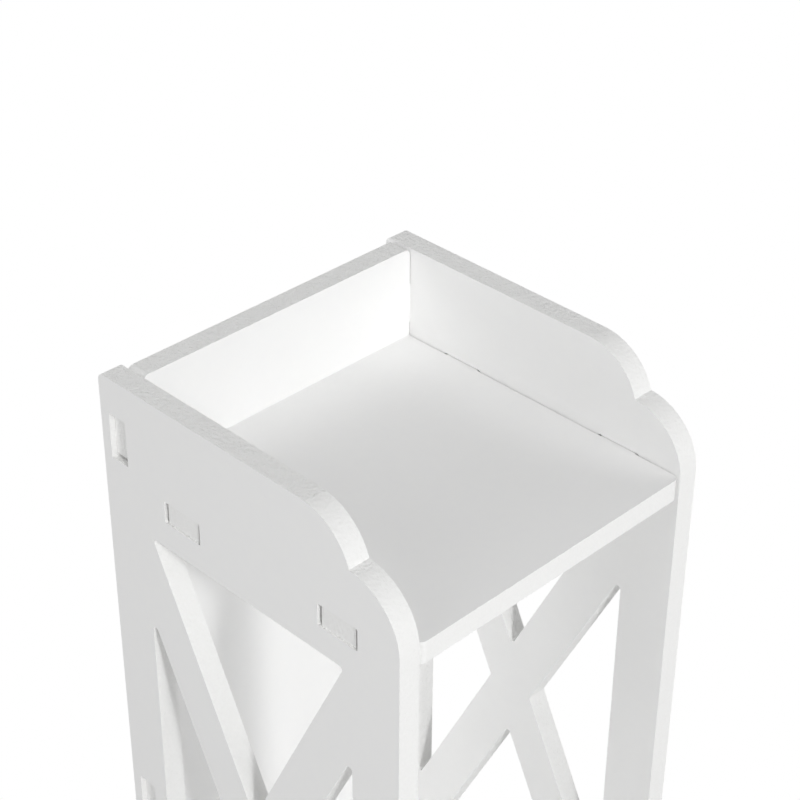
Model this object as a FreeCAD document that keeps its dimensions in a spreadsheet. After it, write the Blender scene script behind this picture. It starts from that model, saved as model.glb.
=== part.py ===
"""Narrow bathroom drawer cabinet of routed white foam board.

The boards hold together by tabs in through-slots. On top is a tray with scalloped sides, below it an open
bay with crossed struts in its side windows, and below that two drawers that slide on the shelves under them.

Axes: +X to the right seen from the front, -Y to the front, +Z up.
The origin is on the floor, under the middle of the cabinet with its knobs.
Lengths are in millimetres and angles in degrees.
"""
import FreeCAD, Part

import math
import os
from collections import namedtuple
from types import SimpleNamespace

import Sketcher
from FreeCAD import Vector

SHEET = "Sizes"
PARTS_FOLDER = "parts"
TOLERANCE = 1e-4
X_AXIS, Y_AXIS, Z_AXIS = range(3)
BACK_TABS = 4
# Radius of a knob's rim, in widths of the rim
RIM_CHORDS = 0.6

DRIVING_SIZES = {
    # Carcass
    "width": 200.0,
    "depth": 200.0,
    "height": 800.0,
    "board": 12.0,
    "corner_radius": 4.0,
    # Tray and its scalloped sides
    "tray_depth": 52.0,
    "lobe_radius": 32.0,
    "upper_lobe_setback": 61.0,
    "lower_lobe_drop": 54.0,
    # Side windows with their crossed struts
    "front_stile": 30.0,
    "back_stile": 28.0,
    "window_margin": 15.0,
    "window_height": 334.0,
    "strut_width": 26.0,
    "strut_angle": 64.2,
    "router_radius": 2.0,
    # Feet
    "foot_height": 40.0,
    "foot_length": 32.0,
    "foot_arch": 26.0,
    # Tabs and slots of the carcass. The ends of a tab keep so far from the slot's rounded corners.
    "back_inset": 6.0,
    "back_seam": 0.3,
    "shelf_seam": 0.5,
    "slot_length": 25.4,
    "slot_radius": 1.0,
    "slot_play": 0.02,
    "slot_headroom": 0.3,
    "tab_front_gap": 0.9,
    "tab_rear_gap": 0.9,
    "tab_end_gap": 0.1,
    "shelf_tab_spacing": 105.0,
    "shelf_tab_recess": 1.0,
    "back_slot_drop": 20.0,
    "back_tab_recess": 3.2,
    # Drawers
    "front_gap": 1.5,
    "slide_gap": 0.3,
    "drawer_back_gap": 6.0,
    "drawer_board": 8.0,
    "drawer_side_drop": 28.0,
    "drawer_back_setback": 10.0,
    "drawer_tab_length": 40.0,
    "drawer_tab_recess": 0.5,
    "drawer_slot_play": 0.1,
    "tenon_board": 4.0,
    "mortise_depth": 6.0,
    "mortise_gap": 0.3,
    "bottom_board": 5.0,
    "bottom_lift": 8.0,
    "groove_depth": 4.0,
    "groove_play": 0.2,
    # Knobs and their screws
    "knob_reach": 20.0,
    "knob_diameter": 24.0,
    "knob_foot_diameter": 15.0,
    "knob_neck_diameter": 10.0,
    "knob_foot_rim": 1.5,
    "knob_dome": 3.5,
    "knob_rim": 3.0,
    "screw_diameter": 4.0,
    "screw_play": 0.1,
    "screw_hole_play": 0.5,
    "screw_depth": 10.0,
    "screw_tip": 0.6,
    "screw_head_diameter": 8.0,
    "screw_head_rim": 1.2,
    "screw_head_height": 2.6,
}

# A point of a loop. Where it has a bow, the edge to the next point is an arc.
Point = namedtuple("Point", "across up bow", defaults=(None,))
Circle = namedtuple("Circle", "across up radius")
Bow = namedtuple("Bow", "radius hollow")


class Size:
    """A number together with the formula that the document keeps for it."""

    def __init__(self, value, formula):
        self.value = value
        self.formula = formula

    @staticmethod
    def of(term):
        """Take a plain number as a size of its own."""
        if isinstance(term, Size):
            return term
        return Size(float(term), repr(float(term)))

    def combine(self, sign, other, value):
        return Size(value, f"({self.formula} {sign} {other.formula})")

    def __add__(self, other):
        other = Size.of(other)
        return self.combine("+", other, self.value + other.value)

    def __sub__(self, other):
        other = Size.of(other)
        return self.combine("-", other, self.value - other.value)

    def __mul__(self, other):
        other = Size.of(other)
        return self.combine("*", other, self.value * other.value)

    def __truediv__(self, other):
        other = Size.of(other)
        return self.combine("/", other, self.value / other.value)

    def __neg__(self):
        return ZERO - self

    def root(self):
        return Size(math.sqrt(self.value), f"sqrt({self.formula})")

    def sine(self):
        return Size(math.sin(math.radians(self.value)), f"sin({self.formula} * 1 deg)")

    def cosine(self):
        return Size(math.cos(math.radians(self.value)), f"cos({self.formula} * 1 deg)")

    def tangent(self):
        return Size(math.tan(math.radians(self.value)), f"tan({self.formula} * 1 deg)")


ZERO = Size.of(0)


class Piece:
    """One body of the document, modelled in its own frame and set in its place by formulas."""

    def __init__(self, label, place):
        self.label = label
        self.body = doc.addObject("PartDesign::Body", label)
        for axis, distance in zip("xyz", place):
            self.body.setExpression(f"Placement.Base.{axis}", distance.formula)

    def sketch(self, plane, name, outlines):
        """Draw closed outlines on one of the body's own planes."""
        drawing = self.body.newObject("Sketcher::SketchObject", f"{self.label}_{name}_sketch")
        planes = {feature.Role: feature for feature in self.body.Origin.OriginFeatures}
        drawing.AttachmentSupport = [(planes[plane], "")]
        drawing.MapMode = "FlatFace"
        for outline in outlines:
            if isinstance(outline, Circle):
                draw_circle(drawing, outline)
            else:
                draw_loop(drawing, outline)
        return drawing

    def extrude(self, kind, plane, name, outlines, length, reverse):
        """Pad or pocket outlines and make sure that this changes the solid."""
        before = self.body.Shape.Volume if self.body.Tip else 0.0
        profile = self.sketch(plane, name, outlines)
        feature = self.body.newObject(f"PartDesign::{kind}", f"{self.label}_{name}")
        feature.Profile = profile
        feature.Reversed = reverse
        feature.setExpression("Length", length.formula)
        doc.recompute()
        if abs(self.body.Shape.Volume - before) < TOLERANCE:
            raise RuntimeError(f"{feature.Label} changes nothing")

    def pad(self, plane, name, outlines, length, reverse=False):
        """Add material along the plane's own direction, or against it."""
        self.extrude("Pad", plane, name, outlines, length, reverse)

    def cut(self, plane, name, outlines, depth, reverse=False):
        """Take material away along the plane's own direction, or against it."""
        self.extrude("Pocket", plane, name, outlines, depth, not reverse)

    def turn(self, name, outline):
        """Turn an outline about the Y axis, drawn with Y across and the radius up."""
        profile = self.sketch("YZ_Plane", name, [outline])
        feature = self.body.newObject("PartDesign::Revolution", f"{self.label}_{name}")
        feature.Profile = profile
        feature.ReferenceAxis = (profile, ["H_Axis"])
        doc.recompute()

    def round_corners(self, name, radius, along, corners):
        """Round the edges that run along one axis through the given corners of the section."""
        base = self.body.Tip
        across = [axis for axis in (X_AXIS, Y_AXIS, Z_AXIS) if axis != along]
        wanted = [(corner.across.value, corner.up.value) for corner in corners]
        edges = []
        for number, edge in enumerate(base.Shape.Edges, 1):
            first = edge.Vertexes[0].Point
            last = edge.Vertexes[-1].Point
            start = [first[axis] for axis in across]
            end = [last[axis] for axis in across]
            at_corner = any(math.dist(start, corner) < TOLERANCE for corner in wanted)
            if at_corner and math.dist(start, end) < TOLERANCE:
                edges.append(f"Edge{number}")
        fillet = self.body.newObject("PartDesign::Fillet", f"{self.label}_{name}")
        fillet.Base = (base, edges)
        fillet.setExpression("Radius", radius.formula)
        doc.recompute()


def hold(drawing, constraint, distance):
    """Add a dimension to a sketch and bind it to its formula."""
    index = drawing.addConstraint(constraint)
    drawing.setExpression(f"Constraints[{index}]", distance.formula)


def hold_point(drawing, edge, end, point):
    """Hold one end of an edge at its two distances from the sketch's origin."""
    hold(drawing, Sketcher.Constraint("DistanceX", -1, 1, edge, end, point.across.value), point.across)
    hold(drawing, Sketcher.Constraint("DistanceY", -1, 1, edge, end, point.up.value), point.up)


def draw_circle(drawing, circle):
    """Add a circle to a sketch, held by its centre and radius."""
    centre = Vector(circle.across.value, circle.up.value, 0)
    edge = drawing.addGeometry(Part.Circle(centre, Vector(0, 0, 1), circle.radius.value))
    hold_point(drawing, edge, 3, circle)
    hold(drawing, Sketcher.Constraint("Radius", edge, circle.radius.value), circle.radius)


def draw_loop(drawing, loop):
    """Add a closed loop of lines and arcs to a sketch, with every point held."""
    first = drawing.GeometryCount
    count = len(loop)
    for number, point in enumerate(loop):
        following = loop[(number + 1) % count]
        start = Vector(point.across.value, point.up.value, 0)
        end = Vector(following.across.value, following.up.value, 0)
        drawing.addGeometry(arc(start, end, point.bow) if point.bow else Part.LineSegment(start, end))
    for number, point in enumerate(loop):
        edge = first + number
        before = first + (number - 1) % count
        starts_late = point_hollow(point)
        ends_early = point_hollow(loop[number - 1])
        own_start = 2 if starts_late else 1
        last_end = 1 if ends_early else 2
        drawing.addConstraint(Sketcher.Constraint("Coincident", before, last_end, edge, own_start))
        hold_point(drawing, edge, own_start, point)
        if point.bow:
            hold(drawing, Sketcher.Constraint("Radius", edge, point.bow.radius.value), point.bow.radius)


def point_hollow(point):
    """Say whether the edge from this point is a hollow arc, which a sketch stores end first."""
    return bool(point.bow and point.bow.hollow)


def arc(start, end, bow):
    """Arc between two points of a loop drawn to the left: it bulges out of the loop, or into it if hollow."""
    if bow.hollow:
        start, end = end, start
    radius = bow.radius.value
    half = (end - start) * 0.5
    left = Vector(-half.y, half.x, 0).normalize()
    centre = start + half + left * math.sqrt(radius ** 2 - half.Length ** 2)
    first = math.atan2(start.y - centre.y, start.x - centre.x)
    last = math.atan2(end.y - centre.y, end.x - centre.x)
    return Part.ArcOfCircle(Part.Circle(centre, Vector(0, 0, 1), radius), first, last)


def distance_between(first, second):
    """Length from one point to another."""
    across = second.across - first.across
    up = second.up - first.up
    return (across * across + up * up).root()


def curved(first, second, rise, hollow=False):
    """The first point with an arc to the second, which turns level after so much rise or starts level."""
    chord = distance_between(first, second)
    return first._replace(bow=Bow(chord * chord / (rise * 2), hollow))


def rectangle(left, low, wide, high):
    """Corners of a rectangle, from the lower left one to the left round it."""
    right = left + wide
    top = low + high
    return [Point(left, low), Point(right, low), Point(right, top), Point(left, top)]


def centred(wide, low, high):
    """Rectangle across the middle of the sketch."""
    return rectangle(-wide / 2, low, wide, high)


def make_sheet():
    """Write the driving dimensions to the document's sheet and return them as sizes."""
    sheet = doc.addObject("Spreadsheet::Sheet", SHEET)
    sizes = {}
    for row, (name, value) in enumerate(DRIVING_SIZES.items(), 1):
        sheet.set(f"A{row}", name)
        sheet.set(f"B{row}", str(value))
        sheet.setAlias(f"B{row}", name)
        sizes[name] = Size(value, f"{SHEET}.{name}")
    doc.recompute()
    return SimpleNamespace(**sizes)


def work_out_places():
    """Levels and distances that several pieces share. Depths run from the carcass front to the back."""
    front = (size.knob_reach - size.depth) / 2
    inside = size.width - size.board * 2
    back_panel_rear = size.depth - size.back_inset
    back_panel_front = back_panel_rear - size.board
    top_shelf = size.height - size.tray_depth - size.board
    window_top = top_shelf - size.window_margin
    bay_shelf = window_top - size.window_height - size.window_margin - size.board
    drawer_room = (bay_shelf - size.foot_height - size.board * 2) / 2
    drawer_divider = size.foot_height + size.board + drawer_room
    first_back_tab = size.foot_height + size.back_slot_drop + size.slot_length / 2
    last_back_tab = size.height - size.back_slot_drop - size.slot_length / 2
    back_step = (last_back_tab - first_back_tab) / (BACK_TABS - 1)
    drawer_half = inside / 2 - size.front_gap
    return SimpleNamespace(
        front=front,
        inside=inside,
        back_panel_rear=back_panel_rear,
        back_panel_front=back_panel_front,
        window_middle=window_top - size.window_height / 2,
        shelves={
            "top_shelf": top_shelf,
            "bay_shelf": bay_shelf,
            "drawer_divider": drawer_divider,
            "bottom_shelf": size.foot_height,
        },
        shelf_tabs=[back_panel_front / 2 + size.shelf_tab_spacing / 2 * side for side in (-1, 1)],
        back_tabs=[first_back_tab + back_step * number for number in range(BACK_TABS)],
        drawer_room=drawer_room,
        drawer_half=drawer_half,
        drawer_inner_half=drawer_half - size.drawer_board,
        drawer_rear=back_panel_front - size.drawer_back_gap,
    )


def scalloped_outline():
    """Side panel from its right side, front to the left: two feet, a straight back, two lobes at the top."""
    radius = size.lobe_radius
    arch_end = size.depth - size.foot_length
    upper = Point(size.upper_lobe_setback, size.height - radius)
    lower = Point(radius, size.height - size.lower_lobe_drop)
    apart = distance_between(lower, upper)
    rise = (radius * radius - apart * apart / 4).root() / apart
    cusp_across = (upper.across + lower.across) / 2 - (upper.up - lower.up) * rise
    cusp_up = (upper.up + lower.up) / 2 + (upper.across - lower.across) * rise
    lobe = Bow(radius, False)
    return [
        Point(ZERO, ZERO),
        Point(size.foot_length, ZERO),
        Point(size.foot_length, size.foot_arch),
        Point(arch_end, size.foot_arch),
        Point(arch_end, ZERO),
        Point(size.depth, ZERO),
        Point(size.depth, size.height),
        Point(upper.across, size.height, lobe),
        Point(cusp_across, cusp_up, lobe),
        Point(ZERO, lower.up),
    ]


def lattice_triangles():
    """The four triangles that the two crossed struts leave open in a side window."""
    half_wide = (size.depth - size.front_stile - size.back_stile) / 2
    middle = size.front_stile + half_wide
    level = place.window_middle
    half_high = size.window_height / 2
    slope = size.strut_angle.tangent()
    strut_up = size.strut_width / 2 / size.strut_angle.cosine()
    strut_across = size.strut_width / 2 / size.strut_angle.sine()
    base = (half_high - strut_up) / slope
    reach = (half_wide - strut_across) * slope
    triangles = []
    for side in (1, -1):
        apex = Point(middle, level + strut_up * side)
        right = Point(middle + base * side, level + half_high * side)
        left = Point(middle - base * side, level + half_high * side)
        triangles.append([apex, right, left])
        apex = Point(middle + strut_across * side, level)
        low = Point(middle + half_wide * side, level - reach * side)
        high = Point(middle + half_wide * side, level + reach * side)
        triangles.append([apex, low, high])
    return triangles


def make_side_panel(label, left_face):
    """Side panel: scalloped board with the lattice window and the slots that the tabs sit in."""
    panel = Piece(label, (left_face, place.front, ZERO))
    outline = scalloped_outline()
    triangles = lattice_triangles()
    half_slot = size.slot_length / 2
    shelf_slot_high = size.board + size.slot_headroom
    back_slot_front = place.back_panel_front - size.slot_play
    back_slot_wide = size.board + size.slot_play * 2
    slots = []
    for level in place.shelves.values():
        for middle in place.shelf_tabs:
            slots.append(rectangle(middle - half_slot, level, size.slot_length, shelf_slot_high))
    for middle in place.back_tabs:
        slots.append(rectangle(back_slot_front, middle - half_slot, back_slot_wide, size.slot_length))
    panel.pad("YZ_Plane", "outline", [outline], size.board)
    panel.cut("YZ_Plane", "window", triangles, size.board)
    panel.cut("YZ_Plane", "slots", slots, size.board)
    router_corners = [corner for triangle in triangles for corner in triangle]
    slot_corners = [corner for slot in slots for corner in slot]
    arch_corners = outline[2:4]
    back_top_corner = outline[6]
    panel.round_corners("router_corners", size.router_radius, X_AXIS, router_corners)
    panel.round_corners("slot_corners", size.slot_radius, X_AXIS, slot_corners)
    panel.round_corners("board_corners", size.corner_radius, X_AXIS, [*arch_corners, back_top_corner])
    return panel


def make_shelf(label, level):
    """Shelf: board between the sides, from their front edges to the back panel, with two tabs each side."""
    shelf = Piece(label, (ZERO, place.front, level))
    board = centred(place.inside - size.shelf_seam * 2, ZERO, place.back_panel_front)
    tab_span = size.width - size.shelf_tab_recess * 2
    tab_length = size.slot_length - size.slot_radius * 2 - size.tab_front_gap - size.tab_rear_gap
    tab_start = size.slot_radius + size.tab_front_gap - size.slot_length / 2
    tabs = [centred(tab_span, middle + tab_start, tab_length) for middle in place.shelf_tabs]
    shelf.pad("XY_Plane", "board", [board], size.board)
    shelf.pad("XY_Plane", "tabs", tabs, size.board)
    front_corners = board[:2]
    shelf.round_corners("front_corners", size.corner_radius, Z_AXIS, front_corners)
    return shelf


def make_back_panel():
    """Back panel: one board from the bottom shelf's underside to the top, with tabs in both sides."""
    panel = Piece("back_panel", (ZERO, place.front + place.back_panel_rear, ZERO))
    board = centred(place.inside - size.back_seam * 2, size.foot_height, size.height - size.foot_height)
    tab_span = size.width - size.back_tab_recess * 2
    tab_length = size.slot_length - (size.slot_radius + size.tab_end_gap) * 2
    tabs = [centred(tab_span, middle - tab_length / 2, tab_length) for middle in place.back_tabs]
    panel.pad("XZ_Plane", "board", [board], size.board)
    panel.pad("XZ_Plane", "tabs", tabs, size.board)
    top_corners = board[2:]
    panel.round_corners("top_corners", size.corner_radius, Y_AXIS, top_corners)
    return panel


def make_knob(label, level):
    """Turned knob: a foot on the drawer front, a waist, and a domed head, bored for its screw."""
    knob = Piece(label, (ZERO, place.front, level))
    bore = size.screw_diameter / 2
    bore_end = -(size.screw_depth + size.screw_tip)
    head_front = -(size.knob_reach - size.knob_dome)
    head_rear = head_front + size.knob_rim
    rim_radius = size.knob_rim * RIM_CHORDS
    rim_swell = rim_radius - (rim_radius * rim_radius - size.knob_rim * size.knob_rim / 4).root()
    rim = size.knob_diameter / 2 - rim_swell
    neck = size.knob_neck_diameter / 2
    foot = Point(-size.knob_foot_rim, size.knob_foot_diameter / 2)
    waist = Point((head_rear - size.knob_foot_rim) / 2, neck)
    rear_rim = Point(head_rear, rim)
    front_rim = Point(head_front, rim)
    crown = Point(-size.knob_reach, ZERO)
    knob.turn("profile", [
        Point(ZERO, bore),
        Point(ZERO, foot.up),
        curved(foot, waist, foot.up - neck, hollow=True),
        curved(waist, rear_rim, rim - neck, hollow=True),
        rear_rim._replace(bow=Bow(rim_radius, False)),
        curved(front_rim, crown, size.knob_dome),
        crown,
        Point(bore_end, ZERO),
        Point(bore_end, bore),
    ])
    return knob


def make_screw(label, level):
    """Knob screw: its domed head bears on the inside of the drawer front and its shank ends in the knob."""
    screw = Piece(label, (ZERO, place.front + size.board, level))
    shank = size.screw_diameter / 2 - size.screw_play / 2
    end = -(size.board + size.screw_depth)
    head = size.screw_head_diameter / 2
    crown = Point(size.screw_head_height, ZERO)
    rim = Point(size.screw_head_rim, head)
    screw.turn("profile", [
        Point(end, ZERO),
        curved(crown, rim, size.screw_head_height - size.screw_head_rim),
        rim,
        Point(ZERO, head),
        Point(ZERO, shank),
        Point(end + size.screw_tip, shank),
        Point(end, shank - size.screw_tip),
    ])
    return screw


def make_drawer(name, floor):
    """Drawer that slides on the shelf whose upper face is at floor, with its knob and screw."""
    front_high = place.drawer_room - size.front_gap * 2
    side_high = place.drawer_room - size.slide_gap - size.front_gap - size.drawer_side_drop
    tab_low = size.slide_gap + (side_high - size.drawer_tab_length) / 2
    groove_low = size.slide_gap + size.bottom_lift
    groove_high = size.bottom_board + size.groove_play * 2
    bottom_low = groove_low + size.groove_play
    back_low = bottom_low + size.bottom_board
    back_rear = place.drawer_rear - size.drawer_back_setback
    knob_level = floor + size.front_gap + front_high / 2
    inner_wide = place.drawer_inner_half * 2
    play = size.drawer_slot_play
    slot_low = tab_low - play
    slot_high = size.drawer_tab_length + play * 2

    front = Piece(f"{name}_front", (ZERO, place.front + size.board, floor))
    mortise_wide = size.tenon_board + play * 2
    mortise_left = place.drawer_inner_half - play
    mortises = [
        rectangle(mortise_left, slot_low, mortise_wide, slot_high),
        rectangle(-mortise_left - mortise_wide, slot_low, mortise_wide, slot_high),
    ]
    groove = centred(inner_wide + size.groove_depth * 2, groove_low, groove_high)
    screw_hole = Circle(ZERO, knob_level - floor, (size.screw_diameter + size.screw_hole_play) / 2)
    front.pad("XZ_Plane", "board", [centred(place.drawer_half * 2, size.front_gap, front_high)], size.board)
    front.cut("XZ_Plane", "mortises", mortises, size.mortise_depth)
    front.cut("XZ_Plane", "groove", [groove], size.groove_depth)
    front.cut("XZ_Plane", "screw_hole", [screw_hole], size.board)

    sides = []
    for label, hand in (("left", -1), ("right", 1)):
        inner_face = place.drawer_inner_half * hand
        side = Piece(f"{name}_{label}_side", (inner_face, place.front, floor))
        outward = hand < 0
        run = place.drawer_rear - size.board
        board = rectangle(size.board, size.slide_gap, run, side_high)
        tenon_run = size.mortise_depth - size.mortise_gap
        tenon = rectangle(size.board - tenon_run, tab_low, tenon_run, size.drawer_tab_length)
        slot_front = back_rear - size.drawer_board - play
        slot = rectangle(slot_front, slot_low, size.drawer_board + play * 2, slot_high)
        groove = rectangle(size.board, groove_low, run, groove_high)
        side.pad("YZ_Plane", "board", [board], size.drawer_board, outward)
        side.pad("YZ_Plane", "tenon", [tenon], size.tenon_board, outward)
        side.cut("YZ_Plane", "back_slot", [slot], size.drawer_board, outward)
        side.cut("YZ_Plane", "groove", [groove], size.groove_depth, outward)
        sides.append(side)

    back = Piece(f"{name}_back", (ZERO, place.front + back_rear, floor))
    tab_span = (place.drawer_half - size.drawer_tab_recess) * 2
    back_top = size.slide_gap + side_high
    back.pad("XZ_Plane", "board", [centred(inner_wide, back_low, back_top - back_low)], size.drawer_board)
    back.pad("XZ_Plane", "tabs", [centred(tab_span, tab_low, size.drawer_tab_length)], size.drawer_board)

    bottom = Piece(f"{name}_bottom", (ZERO, place.front, floor + bottom_low))
    tongue = size.groove_depth - size.groove_play
    bottom_front = size.board - tongue
    outline = centred(inner_wide + tongue * 2, bottom_front, back_rear - bottom_front)
    bottom.pad("XY_Plane", "board", [outline], size.bottom_board)

    knob = make_knob(f"{name}_knob", knob_level)
    screw = make_screw(f"{name}_knob_screw", knob_level)
    return [front, *sides, back, bottom, knob, screw]


def check(pieces):
    """Stop if any object of the document failed, or any piece isn't one sound solid."""
    for item in doc.Objects:
        if "Invalid" in item.State or "Error" in item.State:
            raise RuntimeError(f"{item.Label} failed: {item.State}")
    for piece in pieces:
        shape = piece.body.Shape
        if shape.isNull() or not shape.isValid() or len(shape.Solids) != 1:
            raise RuntimeError(f"{piece.label} isn't one sound solid")


def export(pieces):
    """Write each piece to a file of its own."""
    os.makedirs(PARTS_FOLDER, exist_ok=True)
    for piece in pieces:
        piece.body.Shape.exportStep(os.path.join(PARTS_FOLDER, f"{piece.body.Label}.step"))
        box = piece.body.Shape.BoundBox
        print(f"{piece.label}: {box.XLength:.1f} x {box.YLength:.1f} x {box.ZLength:.1f}")


doc = FreeCAD.newDocument("BathroomDrawerCabinet")
size = make_sheet()
place = work_out_places()
cabinet = [
    make_side_panel("left_side_panel", -size.width / 2),
    make_side_panel("right_side_panel", size.width / 2 - size.board),
    make_back_panel(),
]
for shelf_name, shelf_level in place.shelves.items():
    cabinet.append(make_shelf(shelf_name, shelf_level))
cabinet += make_drawer("upper_drawer", place.shelves["drawer_divider"] + size.board)
cabinet += make_drawer("lower_drawer", place.shelves["bottom_shelf"] + size.board)
doc.recompute()
check(cabinet)
export(cabinet)
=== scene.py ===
"""Narrow bathroom drawer cabinet of white foam board: its finishes, fittings, studio and viewpoint.

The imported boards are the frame. Each keeps its own mesh and gets a softened arris and the finish of routed
foam board. The knobs get a moulded finish, and each knob screw is modelled with its cross recess.
Lengths are in metres and angles in degrees.
"""
from __future__ import annotations

import logging
import math
from dataclasses import dataclass
from enum import Enum
from typing import Any

import bmesh
import bpy
from mathutils import Matrix, Vector

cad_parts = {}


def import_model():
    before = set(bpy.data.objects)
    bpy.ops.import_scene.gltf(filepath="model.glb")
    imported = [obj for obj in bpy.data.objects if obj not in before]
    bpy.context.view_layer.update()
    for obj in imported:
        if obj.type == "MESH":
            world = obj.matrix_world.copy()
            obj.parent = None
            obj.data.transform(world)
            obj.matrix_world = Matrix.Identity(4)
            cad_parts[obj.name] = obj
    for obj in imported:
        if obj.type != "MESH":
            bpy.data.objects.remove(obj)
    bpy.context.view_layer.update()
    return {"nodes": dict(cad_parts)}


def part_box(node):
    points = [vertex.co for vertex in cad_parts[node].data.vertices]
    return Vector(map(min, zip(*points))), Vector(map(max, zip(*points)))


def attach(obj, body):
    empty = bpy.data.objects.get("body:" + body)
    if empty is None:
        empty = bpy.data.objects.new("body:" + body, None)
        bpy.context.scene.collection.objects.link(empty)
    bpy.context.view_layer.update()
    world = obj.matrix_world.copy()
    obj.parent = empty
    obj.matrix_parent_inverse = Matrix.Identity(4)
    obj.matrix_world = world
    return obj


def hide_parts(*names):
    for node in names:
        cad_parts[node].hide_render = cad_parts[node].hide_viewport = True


MM = 0.001
WHITE = "#FFFFFF"
# The sRGB curve: straight up to its toe, then a power
SRGB_TOE = 0.04045
SRGB_SLOPE = 12.92
SRGB_OFFSET = 0.055
SRGB_POWER = 2.4
# Sockets of a Mix node: its factor, then the two inputs and the output for numbers and for colours
FACTOR = 0
NUMBER_A, NUMBER_B, NUMBER_OUT = 2, 3, 0
COLOUR_A, COLOUR_B, COLOUR_OUT = 6, 7, 2

log = logging.getLogger("drawer_cabinet")


class Thickness(Enum):
    """Axis that a board's thickness runs along."""

    ACROSS = 0
    DEEP = 1
    UPRIGHT = 2


def linear(code: str) -> tuple[float, float, float, float]:
    """Turn an sRGB hex code to a linear colour.

    Args:
        code: the colour, such as #F2F2F0.

    Returns:
        Red, green, blue and an alpha of 1.
    """
    channels = [int(code[place:place + 2], 16) / 255 for place in (1, 3, 5)]
    red, green, blue = [
        channel / SRGB_SLOPE
        if channel <= SRGB_TOE
        else ((channel + SRGB_OFFSET) / (1 + SRGB_OFFSET)) ** SRGB_POWER
        for channel in channels
    ]
    return red, green, blue, 1.0


def add_node(
    tree: bpy.types.NodeTree,
    kind: str,
    values: dict[str | int, Any] | None = None,
    links: dict[str | int, bpy.types.NodeSocket] | None = None,
    **settings: Any,
) -> bpy.types.Node:
    """Add a node to a tree with its settings, input values and links.

    Args:
        tree: the tree that gets the node.
        kind: the node's type.
        values: values for its inputs, by name or number.
        links: sockets that feed its inputs, by name or number.
        settings: the node's own properties.

    Returns:
        The new node.
    """
    node = tree.nodes.new(kind)
    for name, setting in settings.items():
        setattr(node, name, setting)
    for socket, value in (values or {}).items():
        node.inputs[socket].default_value = value
    for socket, source in (links or {}).items():
        tree.links.new(source, node.inputs[socket])
    return node


def empty_material(name: str) -> tuple[bpy.types.Material, bpy.types.NodeTree]:
    """Make a material with no nodes in it.

    Args:
        name: the material's name.

    Returns:
        The material and its node tree.
    """
    material = bpy.data.materials.new(name)
    material.use_nodes = True
    material.node_tree.nodes.clear()
    return material, material.node_tree


def close_material(tree: bpy.types.NodeTree, shader: bpy.types.NodeSocket) -> None:
    """Lead a shader to a new output node.

    Args:
        tree: the material's or world's tree.
        shader: the shader socket that is shown.
    """
    in_world = isinstance(tree.id_data, bpy.types.World)
    kind = "ShaderNodeOutputWorld" if in_world else "ShaderNodeOutputMaterial"
    add_node(tree, kind, links={"Surface": shader})


def new_object(name: str, shape: bmesh.types.BMesh, material: bpy.types.Material) -> bpy.types.Object:
    """Turn a bmesh to an object at the origin and free the bmesh.

    Args:
        name: the object's name.
        shape: the finished shape.
        material: the finish of all its faces.

    Returns:
        The object, linked to the scene.
    """
    mesh = bpy.data.meshes.new(name)
    shape.to_mesh(mesh)
    shape.free()
    mesh.materials.append(material)
    piece = bpy.data.objects.new(name, mesh)
    bpy.context.scene.collection.objects.link(piece)
    return piece


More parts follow.
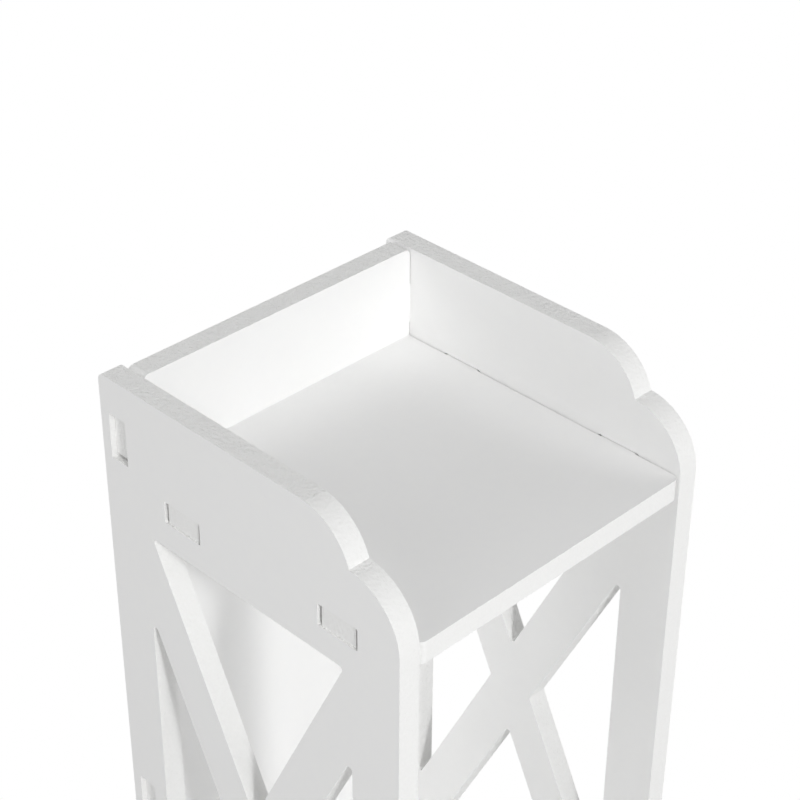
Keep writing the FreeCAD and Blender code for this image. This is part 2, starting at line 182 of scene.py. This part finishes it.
@dataclass(frozen=True)
class FoamBoard:
    """PVC foam board, pressed to a skin on its broad faces and routed on its edges.

    The eye sees a plain satin white on the faces, with a faint ripple in the skin. The router opens the foam,
    so the edges are duller, finely pitted, and faintly streaked across the board by the cutter. The foam's
    cells are long in the direction of extrusion, which is upright in the walls and drawers, so their upper
    and lower ends, cut across the cells, are pitted more. The edges of a shelf are pitted evenly.
    """

    skin: str = "#FDFDFC"
    skin_shade: str = "#FBFBFB"
    cut: str = "#FBFBFA"
    cut_shade: str = "#F9F9F8"
    ior: float = 1.53
    skin_roughness: float = 0.42
    cut_roughness: float = 0.75
    ripple: float = 6 * MM
    ripple_detail: float = 1.0
    # Real cells and cutter marks are about 0.3 mm wide, too fine to show in the render, so they are drawn
    # coarser than they are
    cell: float = 1.8 * MM
    streak_width: float = 1.2 * MM
    streak_length: float = 9 * MM
    streak_share: float = 0.15
    cut_detail: float = 2.0
    # A relief is for the noise's whole range, of which it fills about a fifth
    cut_relief: float = 0.5 * MM
    end_relief: float = 1.1 * MM
    skin_relief: float = 0.0036 * MM
    mean_level: float = 0.5
    shade_from: float = 0.35
    shade_to: float = 0.62
    # The finish changes where a face turns squarely to the board's thickness or to its extrusion: cosines
    cut_facing: float = 0.75
    skin_facing: float = 0.98
    end_from: float = 0.97
    end_to: float = 0.999

    @staticmethod
    def facing_ramp(
        tree: bpy.types.NodeTree,
        along: bpy.types.NodeSocket,
        cosines: tuple[float, float],
        outcome: tuple[float, float],
    ) -> bpy.types.NodeSocket:
        """Lead from one number to another as a face turns squarely to an axis.

        Args:
            tree: the material's tree.
            along: the part of the face's normal along the axis.
            cosines: where the change starts and ends.
            outcome: the number before and after the change.

        Returns:
            The socket with the number.
        """
        squarely = add_node(tree, "ShaderNodeMath", links={0: along}, operation="ABSOLUTE")
        ramp = add_node(
            tree,
            "ShaderNodeMapRange",
            dict(zip(("From Min", "From Max", "To Min", "To Max"), (*cosines, *outcome))),
            {"Value": squarely.outputs[0]},
            interpolation_type="SMOOTHSTEP",
        )
        return ramp.outputs[0]

    def cut_mottle(
        self,
        tree: bpy.types.NodeTree,
        place: bpy.types.NodeSocket,
        thickness: Thickness,
    ) -> bpy.types.NodeSocket:
        """Mix the cells that the router opens with the streaks that it leaves across the board.

        Args:
            tree: the material's tree.
            place: the point on the board.
            thickness: the axis across the board.

        Returns:
            The socket with the mottle, about its mean level.
        """
        spread = [1 / self.streak_width] * 3
        spread[thickness.value] = 1 / self.streak_length
        across = add_node(tree, "ShaderNodeMapping", {"Scale": spread}, {"Vector": place})
        streaks = add_node(
            tree,
            "ShaderNodeTexNoise",
            {"Scale": 1.0, "Detail": self.cut_detail},
            {"Vector": across.outputs[0]},
        )
        cells = add_node(
            tree,
            "ShaderNodeTexNoise",
            {"Scale": 1 / self.cell, "Detail": self.cut_detail},
            {"Vector": place},
        )
        mottle = add_node(
            tree,
            "ShaderNodeMix",
            {FACTOR: self.streak_share},
            {NUMBER_A: cells.outputs[0], NUMBER_B: streaks.outputs[0]},
        )
        return mottle.outputs[NUMBER_OUT]

    def colour(
        self,
        tree: bpy.types.NodeTree,
        skinned: bpy.types.NodeSocket,
        mottle: bpy.types.NodeSocket,
        ripple: bpy.types.NodeSocket,
    ) -> bpy.types.NodeSocket:
        """Shade the cut by its mottle and the skin by its ripple.

        Args:
            tree: the material's tree.
            skinned: 1 on the skin and 0 on the cut.
            mottle: the cut's pattern.
            ripple: the skin's pattern.

        Returns:
            The socket with the colour.
        """
        contrast = add_node(
            tree,
            "ShaderNodeMapRange",
            {"From Min": self.shade_from, "From Max": self.shade_to},
            {"Value": mottle},
        )
        cut = add_node(
            tree,
            "ShaderNodeMix",
            {COLOUR_A: linear(self.cut_shade), COLOUR_B: linear(self.cut)},
            {FACTOR: contrast.outputs[0]},
            data_type="RGBA",
        )
        skin = add_node(
            tree,
            "ShaderNodeMix",
            {COLOUR_A: linear(self.skin_shade), COLOUR_B: linear(self.skin)},
            {FACTOR: ripple},
            data_type="RGBA",
        )
        colour = add_node(
            tree,
            "ShaderNodeMix",
            links={FACTOR: skinned, COLOUR_A: cut.outputs[COLOUR_OUT], COLOUR_B: skin.outputs[COLOUR_OUT]},
            data_type="RGBA",
        )
        return colour.outputs[COLOUR_OUT]

    def relief(
        self,
        tree: bpy.types.NodeTree,
        along: bpy.types.NodeSocket,
        skinned: bpy.types.NodeSocket,
        mottle: bpy.types.NodeSocket,
        ripple: bpy.types.NodeSocket,
    ) -> bpy.types.NodeSocket:
        """Sink pits into the cut, deeper on the ends, and raise the skin's ripple.

        Args:
            tree: the material's tree.
            along: the part of the face's normal along the extrusion.
            skinned: 1 on the skin and 0 on the cut.
            mottle: the cut's pattern.
            ripple: the skin's pattern.

        Returns:
            The socket with the bent normal.
        """
        low_ripple = add_node(
            tree,
            "ShaderNodeMath",
            {1: self.skin_relief / self.cut_relief},
            {0: ripple},
            operation="MULTIPLY",
        )
        deeper = self.end_relief / self.cut_relief
        pitting = self.facing_ramp(tree, along, (self.end_from, self.end_to), (1.0, deeper))
        # Pits go to both sides of the cut's mean level, so that a change of their depth doesn't tilt it
        level = add_node(tree, "ShaderNodeMath", {1: self.mean_level}, {0: mottle}, operation="SUBTRACT")
        pits = add_node(
            tree,
            "ShaderNodeMath",
            links={0: level.outputs[0], 1: pitting},
            operation="MULTIPLY",
        )
        height = add_node(
            tree,
            "ShaderNodeMix",
            links={FACTOR: skinned, NUMBER_A: pits.outputs[0], NUMBER_B: low_ripple.outputs[0]},
        )
        bump = add_node(
            tree,
            "ShaderNodeBump",
            {"Distance": self.cut_relief},
            {"Height": height.outputs[NUMBER_OUT]},
        )
        return bump.outputs[0]

    def material(self, thickness: Thickness) -> bpy.types.Material:
        """Make the board's finish for one direction of its thickness.

        Args:
            thickness: the axis across the board, whose two faces have the skin.

        Returns:
            The material.
        """
        material, tree = empty_material(f"routed_pvc_foam_board_{thickness.name.lower()}")
        coords = add_node(tree, "ShaderNodeTexCoord")
        place = coords.outputs["Object"]
        facing = add_node(tree, "ShaderNodeSeparateXYZ", links={0: coords.outputs["Normal"]}).outputs
        across = facing[thickness.value]
        upright = facing[Thickness.UPRIGHT.value]
        skinned = self.facing_ramp(tree, across, (self.cut_facing, self.skin_facing), (0.0, 1.0))
        mottle = self.cut_mottle(tree, place, thickness)
        ripple = add_node(
            tree,
            "ShaderNodeTexNoise",
            {"Scale": 1 / self.ripple, "Detail": self.ripple_detail},
            {"Vector": place},
        ).outputs[0]
        roughness = add_node(
            tree,
            "ShaderNodeMapRange",
            {"To Min": self.cut_roughness, "To Max": self.skin_roughness},
            {"Value": skinned},
        )
        shader = add_node(
            tree,
            "ShaderNodeBsdfPrincipled",
            {"IOR": self.ior},
            {
                "Base Color": self.colour(tree, skinned, mottle, ripple),
                "Roughness": roughness.outputs[0],
                "Normal": self.relief(tree, upright, skinned, mottle, ripple),
            },
        )
        close_material(tree, shader.outputs[0])
        return material


@dataclass(frozen=True)
class MouldedAbs:
    """White ABS, moulded against a polished tool.

    The eye sees a bright gloss whose reflections waver a little where the plastic shrank.
    """

    body: str = "#F4F4F2"
    body_shade: str = "#EFEFEC"
    ior: float = 1.54
    roughness: float = 0.14
    roughness_spread: float = 0.08
    shrink: float = 5 * MM
    shrink_detail: float = 1.0
    shrink_relief: float = 0.03 * MM

    def material(self) -> bpy.types.Material:
        """Make the knob's finish.

        Returns:
            The material.
        """
        material, tree = empty_material("moulded_white_abs")
        coords = add_node(tree, "ShaderNodeTexCoord")
        shrink = add_node(
            tree,
            "ShaderNodeTexNoise",
            {"Scale": 1 / self.shrink, "Detail": self.shrink_detail},
            {"Vector": coords.outputs["Object"]},
        ).outputs[0]
        colour = add_node(
            tree,
            "ShaderNodeMix",
            {COLOUR_A: linear(self.body_shade), COLOUR_B: linear(self.body)},
            {FACTOR: shrink},
            data_type="RGBA",
        )
        roughness = add_node(
            tree,
            "ShaderNodeMapRange",
            {"To Min": self.roughness, "To Max": self.roughness + self.roughness_spread},
            {"Value": shrink},
        )
        bump = add_node(tree, "ShaderNodeBump", {"Distance": self.shrink_relief}, {"Height": shrink})
        shader = add_node(
            tree,
            "ShaderNodeBsdfPrincipled",
            {"IOR": self.ior},
            {
                "Base Color": colour.outputs[COLOUR_OUT],
                "Roughness": roughness.outputs[0],
                "Normal": bump.outputs[0],
            },
        )
        close_material(tree, shader.outputs[0])
        return material


@dataclass(frozen=True)
class ZincSteel:
    """Zinc-plated steel, cold headed and barrel plated.

    The eye sees a cool bright grey with fine rings from the heading die and a cloudy bloom in the zinc.
    """

    bright: str = "#D3D6D8"
    bloom: str = "#B4B8BB"
    metallic: float = 1.0
    roughness: float = 0.26
    roughness_spread: float = 0.16
    cloud: float = 1.5 * MM
    cloud_detail: float = 3.0
    # The die's real rings are under 0.1 mm apart and would not show, so they are drawn coarser
    ring: float = 0.35 * MM
    ring_waver: float = 0.4
    ring_relief: float = 0.006 * MM

    def material(self, name: str, axis: Vector) -> bpy.types.Material:
        """Make a screw's finish.

        Args:
            name: the screw's own name.
            axis: a point on the screw's axis, which the rings are centred on.

        Returns:
            The material.
        """
        material, tree = empty_material(f"zinc_plated_steel_{name}")
        coords = add_node(tree, "ShaderNodeTexCoord")
        centred = add_node(
            tree,
            "ShaderNodeMapping",
            {"Location": -axis},
            {"Vector": coords.outputs["Object"]},
        ).outputs[0]
        cloud = add_node(
            tree,
            "ShaderNodeTexNoise",
            {"Scale": 1 / self.cloud, "Detail": self.cloud_detail},
            {"Vector": centred},
        ).outputs[0]
        # A wave's period is 2 pi / 20 at a scale of 1
        rings = add_node(
            tree,
            "ShaderNodeTexWave",
            {"Scale": math.tau / 20 / self.ring, "Distortion": self.ring_waver},
            {"Vector": centred},
            wave_type="RINGS",
            rings_direction="Y",
        )
        colour = add_node(
            tree,
            "ShaderNodeMix",
            {COLOUR_A: linear(self.bloom), COLOUR_B: linear(self.bright)},
            {FACTOR: cloud},
            data_type="RGBA",
        )
        roughness = add_node(
            tree,
            "ShaderNodeMapRange",
            {"To Min": self.roughness, "To Max": self.roughness + self.roughness_spread},
            {"Value": cloud},
        )
        bump = add_node(tree, "ShaderNodeBump", {"Distance": self.ring_relief}, {"Height": rings.outputs[1]})
        shader = add_node(
            tree,
            "ShaderNodeBsdfPrincipled",
            {"Metallic": self.metallic},
            {
                "Base Color": colour.outputs[COLOUR_OUT],
                "Roughness": roughness.outputs[0],
                "Normal": bump.outputs[0],
            },
        )
        close_material(tree, shader.outputs[0])
        return material


@dataclass
class Boards:
    """Softens the arrises of packed boards and gives them the foam board's finish."""

    finishes: dict[Thickness, bpy.types.Material]
    arris: float = 0.12 * MM
    arris_steps: int = 2
    arris_angle: float = 35.0
    flat_angle: float = 0.2
    weld: float = 0.002 * MM
    flat_weight: int = 100

    def dress(self, node: bpy.types.Object, thickness: Thickness) -> None:
        """Finish one board.

        Args:
            node: the board's packed object.
            thickness: the axis across the board.
        """
        node.material_slots[0].link = "OBJECT"
        node.material_slots[0].material = self.finishes[thickness]
        weld = node.modifiers.new("close_faces", "WELD")
        weld.merge_threshold = self.weld
        flat = node.modifiers.new("join_flat_faces", "DECIMATE")
        flat.decimate_type = "DISSOLVE"
        flat.angle_limit = math.radians(self.flat_angle)
        soft = node.modifiers.new("soft_arris", "BEVEL")
        soft.width = self.arris
        soft.segments = self.arris_steps
        soft.limit_method = "ANGLE"
        soft.angle_limit = math.radians(self.arris_angle)
        shading = node.modifiers.new("flat_faces_stay_flat", "WEIGHTED_NORMAL")
        shading.mode = "FACE_AREA"
        shading.weight = self.flat_weight
        log.info("board %s", node.name)


@dataclass
class Carcass:
    """Side panels, back panel and shelves, which stand still."""

    nodes: dict[str, bpy.types.Object]
    boards: Boards

    def dress(self) -> None:
        """Finish every board of the carcass."""
        for side in ("left", "right"):
            self.boards.dress(self.nodes[f"{side}_side_panel"], Thickness.ACROSS)
        self.boards.dress(self.nodes["back_panel"], Thickness.DEEP)
        for shelf in ("top_shelf", "bay_shelf", "drawer_divider", "bottom_shelf"):
            self.boards.dress(self.nodes[shelf], Thickness.UPRIGHT)


@dataclass
class KnobScrew:
    """Pan head screw that holds a knob from inside the drawer front, with its axis along Y."""

    name: str
    body: str
    finish: ZincSteel
    head_rim: float = 1.2 * MM
    head_height: float = 2.6 * MM
    shank_radius: float = 1.95 * MM
    tip: float = 0.6 * MM
    dome_steps: int = 8
    turn_steps: int = 64
    seam: float = 0.001 * MM
    recess_length: float = 4.4 * MM
    recess_width: float = 1.1 * MM
    recess_depth: float = 1.5 * MM
    recess_taper: float = 0.7
    cut_reach: float = 0.0001 * MM
    sliver: float = 0.01 * MM
    edge: float = 0.12 * MM
    edge_steps: int = 2
    edge_angle: float = 35.0

    def turned(self, head_radius: float, length: float) -> bmesh.types.BMesh:
        """Turn the screw's profile about the Y axis, with the head's seat at the origin.

        Args:
            head_radius: radius of the head.
            length: shank length from the seat to the tip.

        Returns:
            The closed shape, without its recess.
        """
        shape = bmesh.new()
        rise = self.head_height - self.head_rim
        dome_radius = (head_radius ** 2 + rise ** 2) / (2 * rise)
        dome_centre = Vector((0, self.head_height - dome_radius, 0))
        rim = shape.verts.new((head_radius, self.head_rim, 0))
        bmesh.ops.spin(
            shape,
            geom=[rim],
            cent=dome_centre,
            axis=(0, 0, 1),
            angle=math.asin(head_radius / dome_radius),
            steps=self.dome_steps,
        )
        last = rim
        corners = (
            (head_radius, 0),
            (self.shank_radius, 0),
            (self.shank_radius, self.tip - length),
            (self.shank_radius - self.tip, -length),
            (0, -length),
        )
        for radius, along in corners:
            point = shape.verts.new((radius, along, 0))
            shape.edges.new((last, point))
            last = point
        bmesh.ops.spin(
            shape,
            geom=[*shape.verts, *shape.edges],
            axis=(0, 1, 0),
            angle=math.tau,
            steps=self.turn_steps,
            use_merge=True,
        )
        bmesh.ops.remove_doubles(shape, verts=shape.verts, dist=self.seam)
        bmesh.ops.recalc_face_normals(shape, faces=shape.faces)
        self.put_in_order(shape)
        return shape

    @staticmethod
    def put_in_order(shape: bmesh.types.BMesh) -> None:
        """Order a mesh by place, since spin and extrude list its parts anew in each run.

        Args:
            shape: the mesh, whose form stays as it is.
        """
        order = Vector((1.0, math.sqrt(2), math.sqrt(3)))
        shape.verts.sort(key=lambda vert: vert.co.dot(order))
        shape.edges.sort(key=lambda edge: (edge.verts[0].co + edge.verts[1].co).dot(order))
        shape.faces.sort(key=lambda face: face.calc_center_median().dot(order))

    def in_recess(self, point: Vector) -> bool:
        """Say whether a point of the dome lies in the cross.

        Args:
            point: a point of the turned screw.

        Returns:
            True in the cross.
        """
        half_long = self.recess_length / 2
        half_wide = self.recess_width / 2
        near, far = sorted((abs(point.x), abs(point.z)))
        return point.y > self.head_rim and near < half_wide and far < half_long

    def cut_recess(self, shape: bmesh.types.BMesh) -> None:
        """Sink the cross into the head.

        Args:
            shape: the turned screw.
        """
        for axis in (Vector((1, 0, 0)), Vector((0, 0, 1))):
            for offset in (self.recess_length / 2, self.recess_width / 2):
                for side in (-1, 1):
                    dome = [face for face in shape.faces if face.calc_center_median().y > self.head_rim]
                    # A set would change their order from run to run, and the cut with it
                    edges = dict.fromkeys(edge for face in dome for edge in face.edges)
                    verts = dict.fromkeys(vert for face in dome for vert in face.verts)
                    bmesh.ops.bisect_plane(
                        shape,
                        geom=[*verts, *edges, *dome],
                        dist=self.cut_reach,
                        plane_co=axis * offset * side,
                        plane_no=axis,
                    )
        self.put_in_order(shape)
        bmesh.ops.remove_doubles(shape, verts=shape.verts, dist=self.sliver)
        cross = [face for face in shape.faces if self.in_recess(face.calc_center_median())]
        sunk = bmesh.ops.extrude_face_region(shape, geom=cross)
        # The extrusion leaves the faces that it starts from, which would close the recess
        bmesh.ops.delete(shape, geom=cross, context="FACES")
        floor = [item for item in sunk["geom"] if isinstance(item, bmesh.types.BMVert)]
        bmesh.ops.scale(shape, vec=(self.recess_taper, 0, self.recess_taper), verts=floor)
        bmesh.ops.translate(shape, vec=(0, self.head_height - self.recess_depth, 0), verts=floor)
        self.put_in_order(shape)

    def build(self) -> bpy.types.Object:
        """Model the screw in its node's place.

        Returns:
            The screw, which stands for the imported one.
        """
        low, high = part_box(self.name)
        seat = Vector(((low.x + high.x) / 2, high.y - self.head_height, (low.z + high.z) / 2))
        shape = self.turned((high.x - low.x) / 2, seat.y - low.y)
        self.cut_recess(shape)
        bmesh.ops.translate(shape, vec=seat, verts=shape.verts)
        piece = new_object(f"{self.name}_turned", shape, self.finish.material(self.name, seat))
        piece.data.polygons.foreach_set("use_smooth", [True] * len(piece.data.polygons))
        edge = piece.modifiers.new("soft_edge", "BEVEL")
        edge.width = self.edge
        edge.segments = self.edge_steps
        edge.limit_method = "ANGLE"
        edge.angle_limit = math.radians(self.edge_angle)
        edge.harden_normals = True
        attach(piece, self.body)
        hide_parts(self.name)
        log.info("screw %s", piece.name)
        return piece


@dataclass
class Drawer:
    """Drawer box with its knob and the knob's screw."""

    name: str
    nodes: dict[str, bpy.types.Object]
    boards: Boards
    knob_finish: bpy.types.Material
    screw_finish: ZincSteel

    def dress(self) -> None:
        """Finish the boards and the knob, and model the screw."""
        self.boards.dress(self.nodes[f"{self.name}_front"], Thickness.DEEP)
        self.boards.dress(self.nodes[f"{self.name}_back"], Thickness.DEEP)
        self.boards.dress(self.nodes[f"{self.name}_bottom"], Thickness.UPRIGHT)
        for side in ("left", "right"):
            self.boards.dress(self.nodes[f"{self.name}_{side}_side"], Thickness.ACROSS)
        knob = self.nodes[f"{self.name}_knob"]
        knob.material_slots[0].link = "OBJECT"
        knob.material_slots[0].material = self.knob_finish
        log.info("knob %s", knob.name)
        KnobScrew(f"{self.name}_knob_screw", self.name, self.screw_finish).build()


@dataclass(frozen=True)
class Softbox:
    """Round light panel, aimed at the upper half of the cabinet."""

    name: str
    azimuth: float
    elevation: float
    angle: float
    power: float
    distance: float = 3.0
    aim: tuple[float, float, float] = (0.0, 0.0, 0.65)

    def hang(self) -> None:
        """Hang the panel at its angles, which are to the left of the front and above the horizon."""
        azimuth = math.radians(self.azimuth)
        elevation = math.radians(self.elevation)
        towards = Vector((
            -math.sin(azimuth) * math.cos(elevation),
            -math.cos(azimuth) * math.cos(elevation),
            math.sin(elevation),
        ))
        light = bpy.data.lights.new(self.name, "AREA")
        light.shape = "DISK"
        light.size = 2 * self.distance * math.tan(math.radians(self.angle / 2))
        light.energy = self.power
        panel = bpy.data.objects.new(self.name, light)
        panel.location = Vector(self.aim) + towards * self.distance
        panel.rotation_mode = "QUATERNION"
        panel.rotation_quaternion = towards.to_track_quat("Z", "Y")
        bpy.context.scene.collection.objects.link(panel)


@dataclass
class Studio:
    """Pale floor, softboxes round the cabinet and a white surround."""

    paper: str = "#F2F2F2"
    floor_radius: float = 0.62
    floor_sides: int = 96
    # The floor lies just under the feet, whose faces would flicker with it
    floor_drop: float = 0.1 * MM
    fade_from: float = 0.26
    fade_to: float = 0.55
    softboxes: tuple[Softbox, ...] = (
        Softbox("key_softbox", azimuth=20.5, elevation=25.0, angle=5.0, power=13.2),
        Softbox("wide_softbox", azimuth=18.9, elevation=25.0, angle=10.0, power=20.1),
        Softbox("low_front_panel", azimuth=0.0, elevation=8.0, angle=30.0, power=13.7),
        Softbox("high_front_panel", azimuth=0.0, elevation=35.0, angle=35.0, power=4.5),
        Softbox("low_left_panel", azimuth=90.0, elevation=8.0, angle=30.0, power=9.1),
        Softbox("high_left_panel", azimuth=90.0, elevation=35.0, angle=35.0, power=10.1),
        Softbox("low_rear_panel", azimuth=180.0, elevation=8.0, angle=30.0, power=27.8),
        Softbox("high_rear_panel", azimuth=180.0, elevation=35.0, angle=35.0, power=6.1),
        Softbox("high_corner_panel", azimuth=-135.0, elevation=35.0, angle=35.0, power=5.1),
        Softbox("high_right_panel", azimuth=-90.0, elevation=35.0, angle=35.0, power=7.0),
        Softbox("top_panel", azimuth=0.0, elevation=89.0, angle=50.0, power=12.9),
    )
    dome_level: float = 0.3625
    dome_lean: tuple[float, float, float] = (-0.019, 0.0, -0.344)
    backdrop: float = 1.0

    def lay_floor(self) -> None:
        """Lay a round paper floor that fades into the backdrop away from the cabinet."""
        material, tree = empty_material("matt_studio_paper")
        coords = add_node(tree, "ShaderNodeTexCoord")
        away = add_node(
            tree,
            "ShaderNodeVectorMath",
            links={0: coords.outputs["Object"]},
            operation="LENGTH",
        )
        fade = add_node(
            tree,
            "ShaderNodeMapRange",
            {"From Min": self.fade_from, "From Max": self.fade_to},
            {"Value": away.outputs["Value"]},
            interpolation_type="SMOOTHSTEP",
        )
        paper = add_node(tree, "ShaderNodeBsdfDiffuse", {"Color": linear(self.paper)})
        clear = add_node(tree, "ShaderNodeBsdfTransparent", {"Color": linear(WHITE)})
        shader = add_node(
            tree,
            "ShaderNodeMixShader",
            links={0: fade.outputs[0], 1: paper.outputs[0], 2: clear.outputs[0]},
        )
        close_material(tree, shader.outputs[0])
        shape = bmesh.new()
        bmesh.ops.create_circle(shape, cap_ends=True, segments=self.floor_sides, radius=self.floor_radius)
        bmesh.ops.translate(shape, vec=(0, 0, -self.floor_drop), verts=shape.verts)
        floor = new_object("studio_floor", shape, material)

    def surround(self) -> None:
        """Make the world: a soft dome for the light, and plain white behind the cabinet."""
        world = bpy.data.worlds.new("white_studio")
        world.use_nodes = True
        tree = world.node_tree
        tree.nodes.clear()
        coords = add_node(tree, "ShaderNodeTexCoord")
        leaning = add_node(
            tree,
            "ShaderNodeVectorMath",
            {1: self.dome_lean},
            {0: coords.outputs["Generated"]},
            operation="DOT_PRODUCT",
        )
        level = add_node(
            tree,
            "ShaderNodeMath",
            {1: self.dome_level},
            {0: leaning.outputs["Value"]},
            operation="ADD",
        )
        dome = add_node(
            tree,
            "ShaderNodeBackground",
            {"Color": linear(WHITE)},
            {"Strength": level.outputs[0]},
        )
        backdrop = add_node(
            tree,
            "ShaderNodeBackground",
            {"Color": linear(WHITE), "Strength": self.backdrop},
        )
        seen = add_node(tree, "ShaderNodeLightPath")
        shader = add_node(
            tree,
            "ShaderNodeMixShader",
            links={0: seen.outputs["Is Camera Ray"], 1: dome.outputs[0], 2: backdrop.outputs[0]},
        )
        close_material(tree, shader.outputs[0])
        bpy.context.scene.world = world

    def build(self) -> None:
        """Set up the floor, the light, the world and a plain tone curve."""
        self.lay_floor()
        for softbox in self.softboxes:
            softbox.hang()
        self.surround()
        bpy.context.scene.view_settings.view_transform = "Standard"
        bpy.context.scene.view_settings.look = "None"


@dataclass
class Viewpoint:
    """The photograph's camera: from above, to the left of the front, on the tray and the top of the bay."""

    location: tuple[float, float, float] = (-0.56488, -0.55485, 1.30929)
    azimuth: float = 44.957
    elevation: float = 33.260
    roll: float = 0.338
    lens: float = 91.671
    sensor: float = 36.0

    def build(self) -> None:
        """Make the camera and take it for the scene."""
        camera = bpy.data.cameras.new("photograph_view")
        camera.lens = self.lens
        camera.sensor_width = self.sensor
        holder = bpy.data.objects.new("photograph_view", camera)
        turn = Matrix.Rotation(-math.radians(self.azimuth), 4, "Z")
        tilt = Matrix.Rotation(math.radians(90 - self.elevation), 4, "X")
        roll = Matrix.Rotation(math.radians(self.roll), 4, "Z")
        holder.matrix_world = Matrix.Translation(self.location) @ turn @ tilt @ roll
        bpy.context.scene.collection.objects.link(holder)
        bpy.context.scene.camera = holder


def main() -> None:
    """Load the frame, set the view and dress every piece."""
    logging.basicConfig(level=logging.INFO, format="%(name)s: %(message)s")
    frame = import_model()
    nodes = frame["nodes"]
    Viewpoint().build()
    Studio().build()
    foam_board = FoamBoard()
    boards = Boards({thickness: foam_board.material(thickness) for thickness in Thickness})
    Carcass(nodes, boards).dress()
    knob_finish = MouldedAbs().material()
    for name in ("upper_drawer", "lower_drawer"):
        Drawer(name, nodes, boards, knob_finish, ZincSteel()).dress()


if __name__ == "__main__":
    main()
